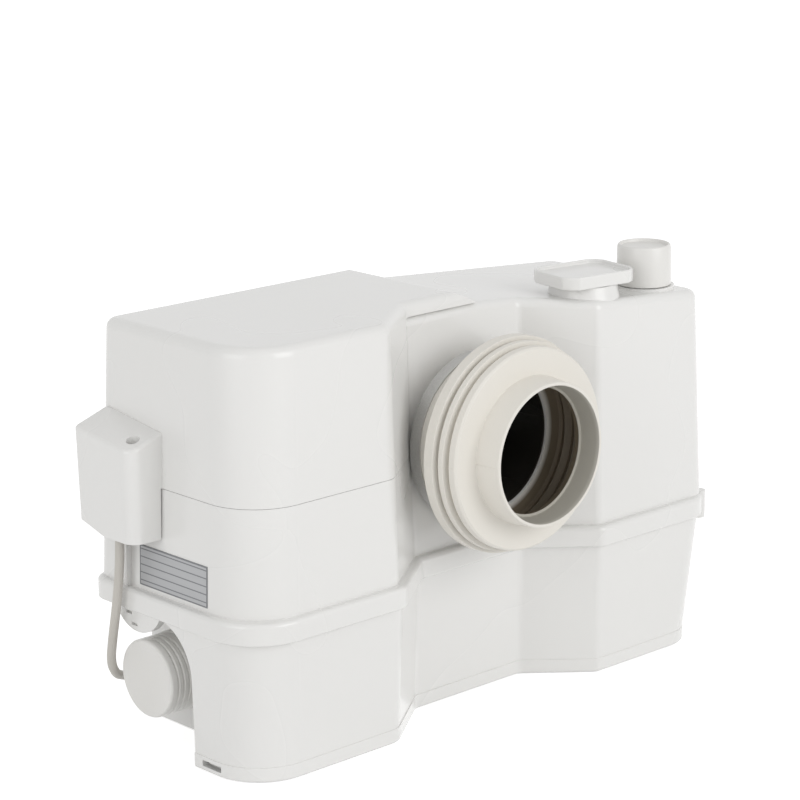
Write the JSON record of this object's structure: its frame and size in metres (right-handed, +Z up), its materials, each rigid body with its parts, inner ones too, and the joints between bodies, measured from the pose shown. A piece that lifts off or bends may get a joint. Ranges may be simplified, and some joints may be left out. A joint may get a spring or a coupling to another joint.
{
  "type": "macerator toilet pump",
  "caption": "Boxy floor-standing macerator pump with a rubber toilet inlet sleeve, capped side and top inlets, an outlet lid, a motor cover with a cord hood and a mains lead.",
  "frame": {"origin": "on the floor, where the toilet inlet's axis and the motor's axis cross in plan", "axes": "+X along the unit from the motor end to the outlet end, -Y out of the toilet inlet towards the toilet, +Z up"},
  "size_m": [0.4551, 0.2855, 0.2894],
  "materials": {
    "body_plastic": "glossy warm white moulded plastic",
    "cap_plastic": "slightly warmer white moulded plastic",
    "inner_plastic": "dark grey moulded plastic inside the housing",
    "sleeve_rubber": "light warm grey rubber, satin",
    "seal_rubber": "black rubber",
    "hose_rubber": "black ribbed rubber hose",
    "cord_sheath": "light warm grey cord sheath",
    "label_foil": "silver grey label foil, satin",
    "stainless": "stainless steel, fine grain",
    "steel": "turned bright steel",
    "lamination_steel": "stack of steel laminations, dull",
    "cast_alloy": "die-cast alloy, dull",
    "copper_wire": "enamelled copper windings",
    "board_resin": "green circuit board resin",
    "pin_metal": "nickel-plated brass pins"
  },
  "bodies": {
    "pump_unit": {"lower_tank": "body_plastic", "upper_housing": "body_plastic", "housing_seal": "seal_rubber", "inlet_sleeve": "sleeve_rubber", "sleeve_band": "stainless", "side_spigot": "cap_plastic", "side_seal": "seal_rubber", "side_flap_pin": "stainless", "label_plate": "label_foil", "seal_carrier": "inner_plastic", "shaft_seal": "seal_rubber", "motor_bottom_bracket": "cast_alloy", "motor_top_bracket": "cast_alloy", "shaft_bearings": "steel", "stator_core": "lamination_steel", "stator_windings": "copper_wire", "motor_bolts": "steel", "run_capacitor": "cap_plastic", "capacitor_clip": "stainless", "control_board": "board_resin", "terminal_block": "inner_plastic", "pressure_tube": "inner_plastic", "switch_base": "inner_plastic", "switch_membrane": "seal_rubber", "switch_cover": "inner_plastic", "micro_switch": "board_resin", "carbon_vent_filter": "inner_plastic", "pump_column": "inner_plastic", "grinder_basket": "stainless", "inlet_chute": "inner_plastic", "pump_volute": "inner_plastic", "volute_cover": "inner_plastic", "valve_body": "inner_plastic", "valve_flap_pin": "stainless", "discharge_hose": "hose_rubber", "hose_clips": "stainless", "strain_relief": "cord_sheath", "lead_tail": "cord_sheath", "power_cord": "cord_sheath", "cord_coil": "cord_sheath", "plug_lead": "cord_sheath", "mains_plug": "cord_sheath", "plug_pins": "pin_metal"},
    "cover": {"motor_cover": "body_plastic", "cover_screw": "steel"},
    "rotor": {"motor_shaft": "steel", "rotor_core": "lamination_steel", "macerator_blade": "stainless", "impeller": "inner_plastic", "impeller_nut": "stainless"},
    "top_cap_body": {"top_cap": "cap_plastic"},
    "lid_body": {"discharge_lid": "body_plastic"},
    "side_cap_body": {"side_cap": "cap_plastic"},
    "side_flap_body": {"side_flap": "seal_rubber"},
    "valve_flap_body": {"valve_flap": "seal_rubber"},
    "plunger_body": {"switch_plunger": "inner_plastic"}
  },
  "joints": [
    {"name": "rotor_spin", "type": "hinge", "parent": "pump_unit", "child": "rotor", "pos_m": [-0.112, 0, 0.2], "axis": [0, 0, 1], "continuous": true},
    {"name": "cover_lift", "type": "slide", "parent": "pump_unit", "child": "cover", "axis": [0, 0, 1], "range_m": [0, 0.12]},
    {"name": "top_cap_pull", "type": "slide", "parent": "pump_unit", "child": "top_cap_body", "axis": [0, 0, 1], "range_m": [0, 0.1]},
    {"name": "lid_lift", "type": "slide", "parent": "pump_unit", "child": "lid_body", "axis": [0, 0, 1], "range_m": [0, 0.1]},
    {"name": "side_cap_pull", "type": "slide", "parent": "pump_unit", "child": "side_cap_body", "axis": [-1, 0, 0], "range_m": [0, 0.06]},
    {"name": "side_flap_swing", "type": "hinge", "parent": "pump_unit", "child": "side_flap_body", "pos_m": [-0.1682, 0.033, 0.0701], "axis": [0, -1, 0], "range_deg": [0, 15]},
    {"name": "valve_flap_swing", "type": "hinge", "parent": "pump_unit", "child": "valve_flap_body", "pos_m": [0.107, -0.024, 0.2195], "axis": [-1, 0, 0], "range_deg": [0, 45]},
    {"name": "plunger_slide", "type": "slide", "parent": "pump_unit", "child": "plunger_body", "axis": [0, 0, 1], "range_m": [0, 0.0015], "stiffness_N_per_m": 400}
  ]
}
